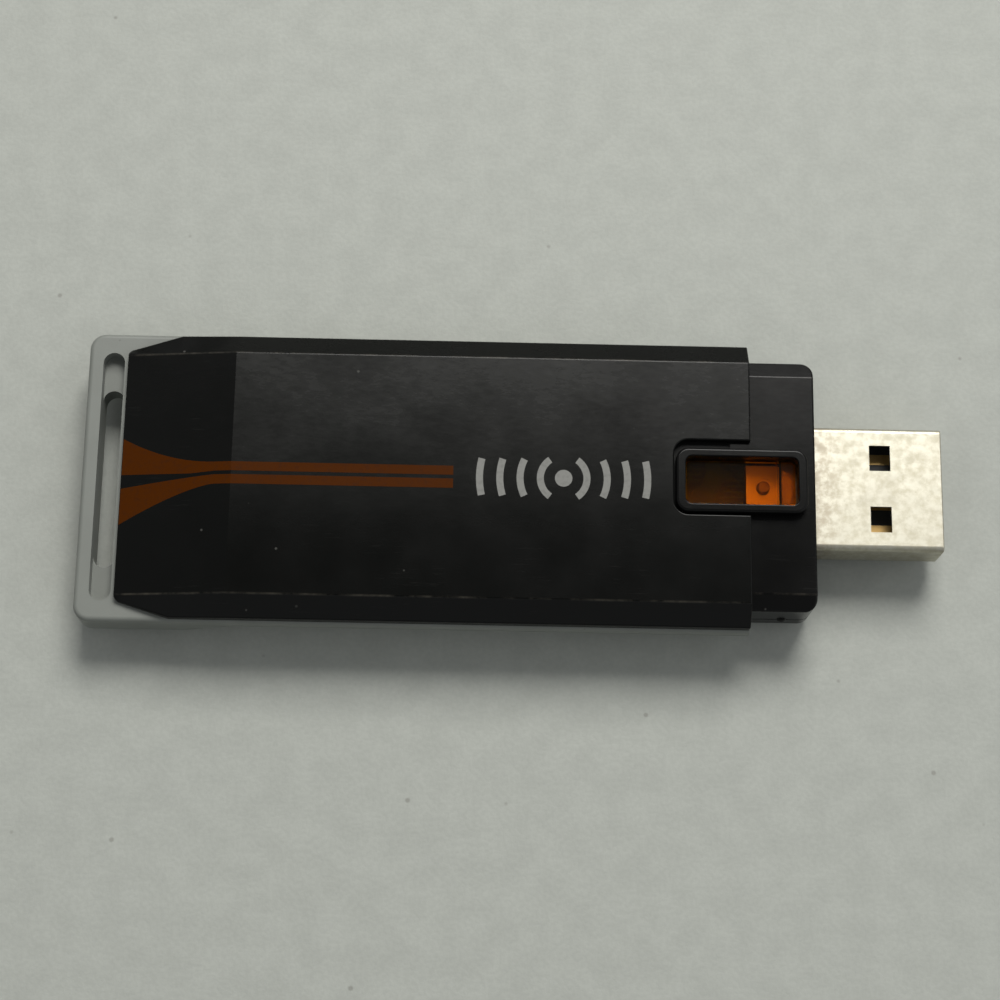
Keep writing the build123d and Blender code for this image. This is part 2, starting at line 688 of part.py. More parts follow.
def circuit_board():
    """Fibreglass board: wide in the tray, narrower in the cap seat, a tongue inside the plug shell."""
    board = block(x_board_rear, x_board_front, -board_half_width, board_half_width, board_bottom, board_top)
    board = fillet(board.edges().filter_by(Axis.Z).group_by(Axis.X)[0], board_corner_radius)
    tongue_half = plug_width / 2 - sheet - board_tongue_gap
    board += block(x_board_front - 0.5, x_insulator, -tongue_half, tongue_half, board_bottom, board_top)
    ear_rear = x_shell_rear + ear_overlap - ear_length - ear_clearance
    ear_inner = plug_width / 2 - sheet - ear_clearance
    ear_outer = plug_width / 2 + ear_clearance
    for side in (-1, 1):
        board -= block(x_cover_end - 0.2, BIG, side * (seat_inner_half - board_seat_gap), side * BIG, 0, BIG)
        board -= block(ear_rear, x_shell_rear + ear_clearance, side * ear_inner, side * ear_outer, 0, BIG)
        for x in hook_places():
            board -= block(x - hook_half_length - 0.4, x + hook_half_length + 0.4,
                           side * (hook_inner - board_hook_gap), side * BIG, 0, BIG)
    for x, y in board_posts():
        board -= Pos(x, y, 0) * extrude(Circle(pin_radius + pin_clearance), BIG)
    return board


def chip(x, y, length, width, height, z=None):
    """A plain rectangular part standing on the board."""
    base = board_top if z is None else z
    return block(x - length / 2, x + length / 2, y - width / 2, y + width / 2, base, base + height)


def marked_chip(x, y, length, width, height):
    """Moulded chip with bevelled top edges and a round pin-one dimple."""
    body = chip(x, y, length, width, height)
    body = chamfer(body.faces().sort_by(Axis.Z)[-1].edges(), 0.1)
    dot = Pos(x - length / 2 + 0.8, y + width / 2 - 0.8, board_top + height - 0.08)
    return body - dot * extrude(Circle(0.3), 1)


def shield_frame():
    """Soldered fence of the radio shield."""
    outer = chip(x_shield, 0, shield_length, shield_width, shield_height)
    inner = chip(x_shield, 0, shield_length - 2 * shield_sheet, shield_width - 2 * shield_sheet,
                 shield_height + 1, board_top - 0.5)
    return outer - inner - block(x_shield - 2, x_shield + 2, -BIG, BIG, 0, board_top + 0.5)


def shield_lid():
    """Clip-on lid of the radio shield, with a short skirt and vent holes."""
    low = board_top + shield_height - lid_skirt
    length = shield_length + 2 * lid_clearance
    width = shield_width + 2 * lid_clearance
    outer = chip(x_shield, 0, length + 2 * lid_sheet, width + 2 * lid_sheet, lid_skirt + lid_sheet, low)
    outer = fillet(outer.faces().sort_by(Axis.Z)[-1].edges(), 0.8 * lid_sheet)
    lid = outer - chip(x_shield, 0, length, width, lid_skirt, low)
    for i in range(-3, 4):
        for j in (-1, 0, 1):
            lid -= Pos(x_shield + vent_pitch_x * i, vent_pitch_y * j, 0) * extrude(Circle(vent_radius), BIG)
    return lid


def memory_chip():
    """Eight-legged memory chip."""
    x = x_shield_front + memory_from_shield
    y = memory_from_edge - board_half_width
    half = memory_width / 2 - 0.05
    parts = Pos(0, 0, memory_lift) * chip(x, y, memory_length, memory_width, memory_height)
    for i in range(4):
        leg_x = x + (i - 1.5) * leg_pitch
        for side in (-1, 1):
            parts += block(leg_x - leg_width / 2, leg_x + leg_width / 2, y + side * half,
                           y + side * (half + leg_reach), board_top, board_top + 0.2)
            parts += block(leg_x - leg_width / 2, leg_x + leg_width / 2, y + side * half,
                           y + side * (half + 0.3), board_top, board_top + memory_height / 2)
    return parts


def coil(x, y, length, width, height):
    """Shielded coil: rounded square base with a round winding groove."""
    body = chip(x, y, length, width, height)
    groove = Pos(x, y, board_top + height - 0.25) * extrude(Circle(width * 0.42) - Circle(width * 0.3), 1)
    return fillet(body.edges().filter_by(Axis.Z), 0.5) - groove


def small_parts(places, height):
    """A row of tiny two-ended parts, each with raised solder ends."""
    parts = []
    for x, y in places:
        body = chip(x, y, tiny_length * 0.6, tiny_width, height * 0.92)
        for side in (-1, 1):
            body += chip(x + side * tiny_length * 0.39, y, tiny_length * 0.22, tiny_width, height)
        parts.append(body)
    return parts


def antenna(side):
    """One etched copper meander antenna at the tail end of the board."""
    x0 = x_board_rear + antenna_from_rear
    y_out = side * (post_y - antenna_from_post)
    y_fold = y_out - side * antenna_fold
    y_foot = y_fold - side * copper_track
    top = board_top + copper_thickness
    copper = block(x0, x0 + copper_track, side * antenna_inner_y, y_out, board_top, top)
    for i in range(4):
        x = x0 + i * copper_pitch
        y = y_out if i % 2 == 0 else y_fold
        copper += block(x, x + copper_pitch + copper_track, y - side * copper_track, y, board_top, top)
        copper += block(x + copper_pitch, x + copper_pitch + copper_track, y_foot, y_out, board_top, top)
    feed_x = x0 + 4 * copper_pitch
    return copper + block(feed_x, feed_x + antenna_feed, y_foot, y_fold, board_top, top)


def beside(x, place):
    """A place given as an offset from x along the stick and a distance across it."""
    return (x + place[0], place[1])


caps_by_radio = [(x_shield + 6.4, 1.2 * i) for i in range(-4, 5)]
caps_by_radio += [(x_shield - 6.6, 1.4 * i) for i in range(-3, 4)]
caps_by_coil = [(x_shield_front + 1.5 + 1.15 * i, power_coil_place[1] + 2.35) for i in range(4)]
resistor_row = [(x_shield_rear - 2.0, 1.5 * i) for i in range(-3, 4)]
x_amplifiers = x_shield_rear - amplifier_from_shield

pieces = {
    "top_cover": top_cover(),
    "bottom_tray": bottom_tray(),
    "underside_label": underside_label(),
    "front_housing_upper": front_housing_upper(),
    "front_housing_lower": front_housing_lower(),
    "button_lens": button_lens(),
    "switch_base": switch_base(),
    "switch_cover": switch_cover(),
    "switch_dome": switch_dome(),
    "switch_plunger": switch_plunger(),
    "usb_shell": usb_shell(),
    "usb_insulator": usb_insulator(),
    "usb_contacts": usb_contacts(),
    "circuit_board": circuit_board(),
    "antenna_far": antenna(1),
    "antenna_near": antenna(-1),
    "wifi_chip": marked_chip(x_shield, 0, radio_size, radio_size, radio_height),
    "shield_frame": shield_frame(),
    "shield_lid": shield_lid(),
    "memory_chip": memory_chip(),
    "clock_crystal": chip(*beside(x_shield_front, crystal_place), *crystal_size),
    "voltage_regulator": marked_chip(*beside(x_shield_front, regulator_place), regulator_size,
                                     regulator_size, radio_height),
    "power_coil": coil(*beside(x_shield_front, power_coil_place), *power_coil_size),
    "data_line_choke": coil(*beside(x_switch, choke_place), *choke_size),
    "surge_protector": chip(*beside(x_switch, surge_place), *surge_size),
    "radio_amplifiers": [marked_chip(x_amplifiers, y, amplifier_size, amplifier_size, radio_height)
                         for y in (-amplifier_y, amplifier_y)],
    "status_led": chip(x_bezel - led_from_bezel, led_y, *led_size),
    "capacitors": small_parts(caps_by_radio + caps_by_coil, capacitor_height),
    "resistors": small_parts(resistor_row, resistor_height),
}

os.makedirs("parts", exist_ok=True)
for name, piece in pieces.items():
    solid = Compound(children=piece) if isinstance(piece, list) else piece
    export_step(solid, f"parts/{name}.step")
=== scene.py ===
"""Looks of a USB wireless adapter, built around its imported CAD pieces.

Laid out as a Blender add-on and run as a script: property groups hold the sizes and colours,
one operator makes or finishes each group of pieces, and main() calls them in order.
"""

import math

import bpy
import numpy as np
from bpy.props import FloatProperty, FloatVectorProperty, IntProperty, PointerProperty
from bpy.types import Operator, Panel, PropertyGroup
from mathutils import Matrix, Vector


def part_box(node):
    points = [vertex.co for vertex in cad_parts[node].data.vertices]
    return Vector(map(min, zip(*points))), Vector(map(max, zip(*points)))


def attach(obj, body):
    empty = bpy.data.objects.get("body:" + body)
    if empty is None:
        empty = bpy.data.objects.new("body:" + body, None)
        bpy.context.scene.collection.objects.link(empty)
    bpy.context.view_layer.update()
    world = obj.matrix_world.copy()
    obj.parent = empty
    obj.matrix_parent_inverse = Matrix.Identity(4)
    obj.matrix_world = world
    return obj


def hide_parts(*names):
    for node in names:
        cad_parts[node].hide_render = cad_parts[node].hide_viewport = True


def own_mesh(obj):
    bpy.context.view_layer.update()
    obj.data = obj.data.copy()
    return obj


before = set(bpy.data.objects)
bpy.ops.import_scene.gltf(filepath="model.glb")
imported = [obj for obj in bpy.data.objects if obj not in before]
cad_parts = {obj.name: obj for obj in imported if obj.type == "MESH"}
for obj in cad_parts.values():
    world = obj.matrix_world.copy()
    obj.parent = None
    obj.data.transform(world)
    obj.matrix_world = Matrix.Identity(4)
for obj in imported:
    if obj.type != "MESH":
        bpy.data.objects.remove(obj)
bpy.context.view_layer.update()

bl_info = {
    "name": "Wireless Adapter Looks",
    "version": (1, 0, 0),
    "blender": (4, 5, 0),
    "location": "3D Viewport > Sidebar > Adapter",
    "description": "Finishes, prints, lights and camera for a plug-in wireless adapter",
    "category": "Object",
}

MM = 0.001
COVER_LOW, COVER_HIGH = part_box("top_cover")
SEAT_FRONT, SEAT_HALF_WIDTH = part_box("front_housing_lower")[1][:2]
LABEL_LOW, LABEL_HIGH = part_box("underside_label")
FACET_LENGTH = 0.0105
FACET_FALL = 0.00175
DUST_ON_BLACK = (0.22, 0.22, 0.20, 1.0)
DUST_ON_GREY = (0.10, 0.095, 0.08, 1.0)
DUST_ON_FLOOR = (0.16, 0.15, 0.13, 1.0)
# Haze colour: partly rubbed mottling, partly a painted sheen of the far light.
HAZE_AND_SHEEN_TINT = (0.050, 0.051, 0.048, 1.0)
SCUFF_TINT = (0.25, 0.25, 0.23, 1.0)
# Crease colour: partly worn paint, partly a painted highlight.
WORN_AND_GLINT_TINT = (0.11, 0.10, 0.08, 1.0)
BORDER_TINT = (0.05, 0.05, 0.05, 1.0)


# ---- small helpers ---------------------------------------------------------------------------

def colour(name, description, default):
    """A colour property."""
    return FloatVectorProperty(name=name, description=description, default=default, subtype="COLOR",
                               size=3, min=0.0, max=1.0)


def length(name, description, default):
    """A length property in metres."""
    return FloatProperty(name=name, description=description, default=default, unit="LENGTH",
                         precision=5)


def number(name, description, default, low=0.0, high=1.0e6):
    """A plain number property."""
    return FloatProperty(name=name, description=description, default=default, min=low, max=high)


def place(name, description, default):
    """A point property in metres."""
    return FloatVectorProperty(name=name, description=description, default=default, size=3,
                               subtype="TRANSLATION", unit="LENGTH", precision=5)


def add(tree, kind, inputs=None, **settings):
    """Adds a node; inputs maps socket names to values or to output sockets to link."""
    node = tree.nodes.new(kind)
    for key, value in settings.items():
        setattr(node, key, value)
    for key, value in (inputs or {}).items():
        if isinstance(value, bpy.types.NodeSocket):
            tree.links.new(value, node.inputs[key])
        else:
            node.inputs[key].default_value = value
    return node


def maths(tree, operation, a, b=0.0, c=0.0):
    """One Math node; returns its output."""
    return add(tree, "ShaderNodeMath", {0: a, 1: b, 2: c}, operation=operation).outputs[0]


def product(tree, first, *others):
    """The numbers multiplied together, from left to right."""
    for other in others:
        first = maths(tree, "MULTIPLY", first, other)
    return first


def span(tree, value, low, high, to_low=0.0, to_high=1.0):
    """Maps value from low..high to to_low..to_high, smoothly and clamped."""
    node = add(tree, "ShaderNodeMapRange", {"Value": value, "From Min": low, "From Max": high,
                                            "To Min": to_low, "To Max": to_high},
               interpolation_type="SMOOTHSTEP")
    return node.outputs["Result"]


def mix_colour(tree, share, a, b):
    """Blends colour a into colour b by share; returns the output."""
    node = add(tree, "ShaderNodeMix", data_type="RGBA")
    for index, value in ((0, share), (6, a), (7, b)):
        if isinstance(value, bpy.types.NodeSocket):
            tree.links.new(value, node.inputs[index])
        else:
            node.inputs[index].default_value = value
    return node.outputs[2]


def rgba(values, share=1.0):
    """An opaque colour, each channel multiplied by share."""
    return (*(share * value for value in values), 1.0)


def axes_of(tree, vector):
    """The X, Y and Z outputs of a vector."""
    return add(tree, "ShaderNodeSeparateXYZ", {"Vector": vector}).outputs


def off_centre(tree, value, middle):
    """How far value lies from middle, either way."""
    return maths(tree, "ABSOLUTE", maths(tree, "SUBTRACT", value, middle))


def new_group(name, inputs, outputs):
    """An empty shader node group with named sockets; returns tree, input and output nodes."""
    tree = bpy.data.node_groups.new(name, "ShaderNodeTree")
    for socket, kind, default in inputs:
        item = tree.interface.new_socket(socket, in_out="INPUT", socket_type=kind)
        if default is not None:
            item.default_value = default
    for socket, kind in outputs:
        tree.interface.new_socket(socket, in_out="OUTPUT", socket_type=kind)
    return tree, tree.nodes.new("NodeGroupInput"), tree.nodes.new("NodeGroupOutput")


def use_group(tree, group, **inputs):
    """Places a node group; inputs are given by socket name with _ for a space."""
    node = tree.nodes.new("ShaderNodeGroup")
    node.node_tree = group
    for key, value in inputs.items():
        socket = node.inputs[key.replace("_", " ")]
        if isinstance(value, bpy.types.NodeSocket):
            tree.links.new(value, socket)
        else:
            socket.default_value = value
    return node


def new_material(name, **sockets):
    """A material with one Principled BSDF; returns material, tree and shader node."""
    material = bpy.data.materials.new(name)
    material.use_nodes = True
    tree = material.node_tree
    shader = tree.nodes["Principled BSDF"]
    for key, value in sockets.items():
        shader.inputs[key.replace("_", " ")].default_value = value
    return material, tree, shader


def millimetres(tree):
    """Object coordinates in millimetres."""
    point = tree.nodes.new("ShaderNodeTexCoord").outputs["Object"]
    return add(tree, "ShaderNodeMapping", {"Vector": point, "Scale": (1000.0,) * 3}).outputs[0]


def bump(tree, shader, height, distance, strength=1.0):
    """Feeds a height in millimetres to the shader's normal."""
    node = add(tree, "ShaderNodeBump", {"Height": height, "Distance": distance * MM,
                                        "Strength": strength})
    tree.links.new(node.outputs["Normal"], shader.inputs["Normal"])


def dress(node, material):
    """Gives a CAD node one material."""
    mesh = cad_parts[node].data
    mesh.materials.clear()
    mesh.materials.append(material)


# ---- shared surface effects --------------------------------------------------------------------

def grain_group():
    """Fine moulding texture: two sizes of noise as a height and a small roughness change."""
    tree, given, made = new_group(
        "Moulded Grain",
        [("Vector", "NodeSocketVector", None), ("Size", "NodeSocketFloat", 0.12),
         ("Roughness", "NodeSocketFloat", 0.4), ("Spread", "NodeSocketFloat", 0.06)],
        [("Height", "NodeSocketFloat"), ("Roughness", "NodeSocketFloat"), ("Cloud", "NodeSocketFloat")])
    per = maths(tree, "DIVIDE", 1.0, given.outputs["Size"])
    fine = add(tree, "ShaderNodeTexNoise", {"Vector": given.outputs["Vector"], "Scale": per,
                                            "Detail": 2.0})
    broad = add(tree, "ShaderNodeTexNoise", {"Vector": given.outputs["Vector"], "Scale": 0.22,
                                             "Detail": 3.0})
    cloud = maths(tree, "SUBTRACT", broad.outputs["Fac"], 0.5)
    rough = maths(tree, "MULTIPLY_ADD", cloud, given.outputs["Spread"], given.outputs["Roughness"])
    tree.links.new(fine.outputs["Fac"], made.inputs["Height"])
    tree.links.new(rough, made.inputs["Roughness"])
    tree.links.new(broad.outputs["Fac"], made.inputs["Cloud"])
    return tree


def scuff_group():
    """Sparse fine scratches: noise stretched along a turned direction, kept only at its peaks."""
    tree, given, made = new_group(
        "Fine Scuffs",
        [("Vector", "NodeSocketVector", None), ("Turn", "NodeSocketFloat", 0.4),
         ("Amount", "NodeSocketFloat", 0.5)],
        [("Mask", "NodeSocketFloat")])
    turn = add(tree, "ShaderNodeCombineXYZ", {"Z": given.outputs["Turn"]})
    turned = add(tree, "ShaderNodeMapping", {"Vector": given.outputs["Vector"],
                                             "Rotation": turn.outputs[0], "Scale": (0.25, 5.0, 1.0)})
    lines = add(tree, "ShaderNodeTexNoise", {"Vector": turned.outputs[0], "Scale": 1.3, "Detail": 4.0,
                                             "Roughness": 0.6})
    where = add(tree, "ShaderNodeTexNoise", {"Vector": given.outputs["Vector"], "Scale": 0.16,
                                             "Detail": 2.0})
    sharp = span(tree, lines.outputs["Fac"], 0.60, 0.72)
    patch = span(tree, where.outputs["Fac"], 0.45, 0.65)
    mask = product(tree, sharp, patch, given.outputs["Amount"])
    tree.links.new(mask, made.inputs["Mask"])
    return tree


def rub_and_sheen_group():
    """Cloudy haze of handling marks with a painted sheen: fine and coarse noise multiplied, denser towards
    High on one axis, which paints the reflection of the far light.
    """
    tree, given, made = new_group(
        "Rubbed Haze and Painted Sheen",
        [("Vector", "NodeSocketVector", None), ("Across", "NodeSocketFloat", 0.0),
         ("Low", "NodeSocketFloat", -10.0), ("High", "NodeSocketFloat", 12.0),
         ("Amount", "NodeSocketFloat", 0.5)],
        [("Mask", "NodeSocketFloat")])
    swept = add(tree, "ShaderNodeMapping", {"Vector": given.outputs["Vector"],
                                            "Rotation": (0.0, 0.0, 0.5), "Scale": (0.6, 1.6, 1.0)})
    fine = add(tree, "ShaderNodeTexNoise", {"Vector": swept.outputs[0], "Scale": 1.7, "Detail": 7.0,
                                            "Roughness": 0.62})
    broad = add(tree, "ShaderNodeTexNoise", {"Vector": given.outputs["Vector"], "Scale": 0.13,
                                             "Detail": 3.0})
    cloud = span(tree, fine.outputs["Fac"], 0.25, 0.80, 0.55, 1.0)
    patch = span(tree, broad.outputs["Fac"], 0.30, 0.70, 0.65, 1.0)
    rise = span(tree, given.outputs["Across"], given.outputs["Low"], given.outputs["High"])
    mask = product(tree, cloud, patch, rise, given.outputs["Amount"])
    tree.links.new(mask, made.inputs["Mask"])
    return tree


def wear_and_glint_group():
    """Worn edge with a painted glint: full within Width of a line whose distance is given, broken up by
    noise.
    """
    tree, given, made = new_group(
        "Edge Wear and Painted Glint",
        [("Vector", "NodeSocketVector", None), ("Distance", "NodeSocketFloat", 0.0),
         ("Width", "NodeSocketFloat", 0.2), ("Amount", "NodeSocketFloat", 0.5)],
        [("Mask", "NodeSocketFloat")])
    broken = add(tree, "ShaderNodeTexNoise", {"Vector": given.outputs["Vector"], "Scale": 0.35,
                                              "Detail": 5.0, "Roughness": 0.7})
    near = span(tree, given.outputs["Distance"], 0.0, given.outputs["Width"], 1.0, 0.0)
    kept = span(tree, broken.outputs["Fac"], 0.40, 0.72)
    mask = product(tree, near, kept, given.outputs["Amount"])
    tree.links.new(mask, made.inputs["Mask"])
    return tree


def dust_group():
    """Tiny light specks: the centres of a coarse cell pattern, thinned out by noise."""
    tree, given, made = new_group(
        "Dust Specks",
        [("Vector", "NodeSocketVector", None), ("Spacing", "NodeSocketFloat", 1.6),
         ("Amount", "NodeSocketFloat", 0.5)],
        [("Mask", "NodeSocketFloat")])
    per = maths(tree, "DIVIDE", 1.0, given.outputs["Spacing"])
    cells = add(tree, "ShaderNodeTexVoronoi", {"Vector": given.outputs["Vector"], "Scale": per})
    dot = span(tree, cells.outputs["Distance"], 0.03, 0.07, 1.0, 0.0)
    chance = add(tree, "ShaderNodeSeparateColor", {"Color": cells.outputs["Color"]})
    kept = span(tree, chance.outputs[0], 0.72, 0.76)
    mask = product(tree, dot, kept, given.outputs["Amount"])
    tree.links.new(mask, made.inputs["Mask"])
    return tree


GROUPS = {}


def group(name):
    """The shared node group of that name, built the first time it is asked for."""
    makers = {"grain": grain_group, "scuff": scuff_group, "rub_and_sheen": rub_and_sheen_group, "wear_and_glint": wear_and_glint_group,
              "dust": dust_group}
    if name not in GROUPS:
        GROUPS[name] = makers[name]()
    return GROUPS[name]


# ---- materials ------------------------------------------------------------------------------------

def black_plastic(name, tint, rough, grain_depth, haze_and_sheen, crease_y):
    """Satin black moulding: fine grain, rubbed haze with a painted sheen towards +Y, worn creases at crease_y
    with a painted highlight, light scuffs and dust.
    """
    material, tree, shader = new_material(name, Specular_IOR_Level=0.17)
    point = millimetres(tree)
    axes = axes_of(tree, point)
    upward = axes_of(tree, tree.nodes.new("ShaderNodeNewGeometry").outputs["Normal"])["Z"]
    grain = use_group(tree, group("grain"), Vector=point, Size=0.16, Roughness=rough, Spread=0.14)
    rub_and_sheen = use_group(tree, group("rub_and_sheen"), Vector=point, Across=axes["Y"], Low=-9.0, High=13.0, Amount=haze_and_sheen)
    scuffs = use_group(tree, group("scuff"), Vector=point, Turn=1.1, Amount=0.35)
    crease = off_centre(tree, maths(tree, "ABSOLUTE", axes["Y"]), crease_y)
    wear_and_glint = use_group(tree, group("wear_and_glint"), Vector=point, Distance=crease, Width=0.16, Amount=0.42)
    dust = use_group(tree, group("dust"), Vector=point, Spacing=2.4, Amount=0.25)
    on_flat = span(tree, upward, 0.988, 0.998)
    on_top = span(tree, upward, 0.5, 0.95)
    # Painted sheen: the rubbed haze lightens the flat top more towards +Y, standing in for the reflection of
    # the far light, over real rubbed mottling.
    base = mix_colour(tree, product(tree, rub_and_sheen.outputs[0], on_flat), rgba(tint), HAZE_AND_SHEEN_TINT)
    base = mix_colour(tree, product(tree, scuffs.outputs[0], 0.07), base, SCUFF_TINT)
    # Worn creases: partly real wear, partly a painted highlight along the rounded crease.
    base = mix_colour(tree, product(tree, wear_and_glint.outputs[0], on_top), base, WORN_AND_GLINT_TINT)
    base = mix_colour(tree, dust.outputs[0], base, DUST_ON_BLACK)
    tree.links.new(base, shader.inputs["Base Color"])
    worn = maths(tree, "MULTIPLY_ADD", rub_and_sheen.outputs[0], 0.30, grain.outputs["Roughness"])
    tree.links.new(worn, shader.inputs["Roughness"])
    bump(tree, shader, grain.outputs["Height"], grain_depth)
    return material


def grey_plastic(name, tint):
    """Satin light grey moulding: fine grain, faint clouding and dark dust."""
    material, tree, shader = new_material(name)
    point = millimetres(tree)
    grain = use_group(tree, group("grain"), Vector=point, Size=0.14, Roughness=0.42, Spread=0.12)
    dust = use_group(tree, group("dust"), Vector=point, Spacing=1.8, Amount=0.4)
    shade = mix_colour(tree, span(tree, grain.outputs["Cloud"], 0.35, 0.65, 0.0, 0.35), rgba(tint),
                       rgba(tint, 0.82))
    base = mix_colour(tree, dust.outputs[0], shade, DUST_ON_GREY)
    tree.links.new(base, shader.inputs["Base Color"])
    tree.links.new(grain.outputs["Roughness"], shader.inputs["Roughness"])
    bump(tree, shader, grain.outputs["Height"], 0.006)
    return material


def plated_steel(name, tint, rough):
    """Satin plated sheet: cloudy sheen, tarnish, fine scratches, ripples and an end made darker inside the
    housing.
    """
    material, tree, shader = new_material(name, Metallic=1.0)
    point = millimetres(tree)
    along = axes_of(tree, point)["X"]
    mottle = add(tree, "ShaderNodeTexNoise", {"Vector": point, "Scale": 1.1, "Detail": 8.0,
                                              "Roughness": 0.66})
    blotch = add(tree, "ShaderNodeTexNoise", {"Vector": point, "Scale": 0.24, "Detail": 4.0})
    scuffs = use_group(tree, group("scuff"), Vector=point, Turn=0.2, Amount=1.0)
    base = mix_colour(tree, span(tree, mottle.outputs["Fac"], 0.36, 0.66), rgba(tint),
                      rgba([0.84 * tint[0], 0.82 * tint[1], 0.77 * tint[2]]))
    tarnish = span(tree, blotch.outputs["Fac"], 0.54, 0.74, 0.0, 0.35)
    base = mix_colour(tree, tarnish, base, rgba([0.70 * tint[0], 0.68 * tint[1], 0.66 * tint[2]]))
    near_seat = span(tree, along, SEAT_FRONT / MM, SEAT_FRONT / MM + 3.5, 0.75, 0.0)
    handled = product(tree, near_seat, span(tree, mottle.outputs["Fac"], 0.35, 0.6))
    base = mix_colour(tree, handled, base, rgba([0.66 * tint[0], 0.60 * tint[1], 0.56 * tint[2]]))
    # The shell is made darker from 1.2 to 1.6 mm behind the seat front onwards, inside the housing.
    darker_inside_housing = span(tree, along, SEAT_FRONT / MM - 1.6, SEAT_FRONT / MM - 1.2, 0.9, 0.0)
    base = mix_colour(tree, darker_inside_housing, base, rgba([0.30 * tint[0], 0.27 * tint[1], 0.24 * tint[2]]))
    tree.links.new(base, shader.inputs["Base Color"])
    sheen = span(tree, mottle.outputs["Fac"], 0.3, 0.7, rough - 0.07, rough + 0.07)
    tree.links.new(maths(tree, "MULTIPLY_ADD", scuffs.outputs[0], 0.12, sheen), shader.inputs["Roughness"])
    ripple = add(tree, "ShaderNodeTexNoise", {"Vector": point, "Scale": 0.5, "Detail": 3.0})
    bump(tree, shader, ripple.outputs["Fac"], 0.02)
    return material


def simple_finish(name, tint, rough, metallic=0.0, fleck=0.15):
    """Small-part finish: one tint with a fine fleck and slightly uneven gloss."""
    material, tree, shader = new_material(name, Metallic=metallic)
    point = millimetres(tree)
    grain = use_group(tree, group("grain"), Vector=point, Size=0.1, Roughness=rough, Spread=0.1)
    base = mix_colour(tree, span(tree, grain.outputs["Height"], 0.35, 0.65, 0.0, fleck), rgba(tint),
                      rgba(tint, 0.6))
    tree.links.new(base, shader.inputs["Base Color"])
    tree.links.new(grain.outputs["Roughness"], shader.inputs["Roughness"])
    return material


def solder_mask(name, tint):
    """Glossy mask over a board: copper tracks show as lighter raised lines in bundles."""
    material, tree, shader = new_material(name, Roughness=0.28)
    point = millimetres(tree)
    lines = add(tree, "ShaderNodeTexBrick", {"Vector": point, "Scale": 1.0, "Mortar Size": 0.07,
                                             "Mortar Smooth": 0.2, "Brick Width": 3.1, "Row Height": 0.55})
    broad = add(tree, "ShaderNodeTexNoise", {"Vector": point, "Scale": 0.30, "Detail": 1.0})
    tracks = product(tree, lines.outputs["Fac"], span(tree, broad.outputs["Fac"], 0.46, 0.54))
    pours = span(tree, broad.outputs["Fac"], 0.40, 0.42, 1.0, 0.0)
    copper = maths(tree, "MAXIMUM", tracks, pours)
    base = mix_colour(tree, product(tree, copper, 0.6), rgba(tint), rgba(tint, 2.2))
    tree.links.new(base, shader.inputs["Base Color"])
    bump(tree, shader, copper, 0.03)
    return material


def label_film(name, tint):
    """Blank satin label: paper fibres, a thin printed border and edges rubbed a little darker."""
    material, tree, shader = new_material(name, Roughness=0.38)
    point = millimetres(tree)
    axes = axes_of(tree, point)
    middle = (LABEL_LOW + LABEL_HIGH) / (2 * MM)
    half = (LABEL_HIGH - LABEL_LOW) / (2 * MM)
    edge_x = maths(tree, "SUBTRACT", half[0], off_centre(tree, axes["X"], middle[0]))
    edge_y = maths(tree, "SUBTRACT", half[1], off_centre(tree, axes["Y"], middle[1]))
    edge = maths(tree, "MINIMUM", edge_x, edge_y)
    border = maths(tree, "LESS_THAN", off_centre(tree, edge, 1.2), 0.12)
    fibres = add(tree, "ShaderNodeTexNoise", {"Vector": point, "Scale": 4.0, "Detail": 5.0})
    stain = add(tree, "ShaderNodeTexNoise", {"Vector": point, "Scale": 0.2, "Detail": 4.0})
    base = mix_colour(tree, span(tree, fibres.outputs["Fac"], 0.3, 0.7, 0.0, 0.12), rgba(tint),
                      rgba(tint, 0.6))
    base = mix_colour(tree, span(tree, stain.outputs["Fac"], 0.5, 0.75, 0.0, 0.25), base,
                      rgba([0.75 * tint[0], 0.72 * tint[1], 0.64 * tint[2]]))
    rubbed = product(tree, span(tree, edge, 0.0, 0.7, 1.0, 0.0), fibres.outputs["Fac"])
    base = mix_colour(tree, rubbed, base, rgba(tint, 0.5))
    base = mix_colour(tree, product(tree, border, 0.8), base, BORDER_TINT)
    tree.links.new(base, shader.inputs["Base Color"])
    bump(tree, shader, fibres.outputs["Fac"], 0.004)
    return material


def amber_resin(name, tint, rough):
    """Clear amber moulding, seen through to what lies below it."""
    material, tree, shader = new_material(name, Base_Color=rgba(tint), Transmission_Weight=1.0, IOR=1.49)
    point = millimetres(tree)
    grain = use_group(tree, group("grain"), Vector=point, Size=0.5, Roughness=rough, Spread=0.04)
    tree.links.new(grain.outputs["Roughness"], shader.inputs["Roughness"])
    return material


# ---- settings ---------------------------------------------------------------------------------------

